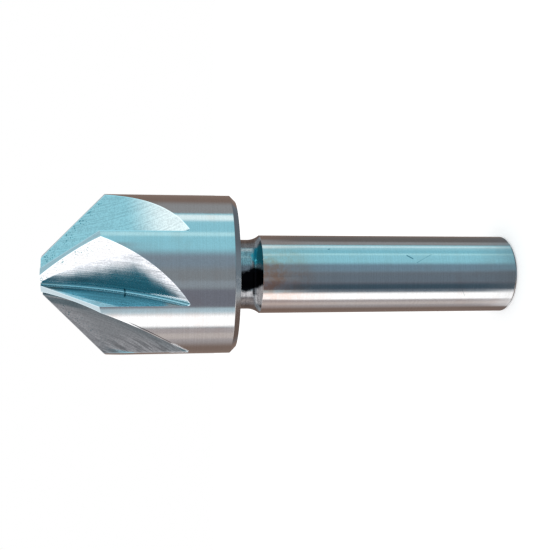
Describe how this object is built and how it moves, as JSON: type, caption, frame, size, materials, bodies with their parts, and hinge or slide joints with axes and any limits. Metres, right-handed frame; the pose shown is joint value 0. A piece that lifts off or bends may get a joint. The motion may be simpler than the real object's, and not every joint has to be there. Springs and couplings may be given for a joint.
{
  "type": "countersink bit",
  "caption": "Multi-flute ninety degree countersink bit: a cone of straight ground cutting flutes on a round head, a short waisted neck and a plain round shank.",
  "frame": {"origin": "centre of the flat end of the shank, which the bit stands on", "axes": "+Z runs along the tool's axis from the shank's end to the point; the first tooth has its cutting edge toward +X, and the bit cuts turning counterclockwise seen from the point, which is clockwise seen from the shank"},
  "size_m": [0.02, 0.02, 0.0599],
  "materials": {
    "ground_steel": "bright turned and ground tool steel, fine turning lines on the shank and head, grinding marks in the flutes"
  },
  "bodies": {
    "root": {"countersink_bit": "ground_steel"}
  },
  "joints": []
}
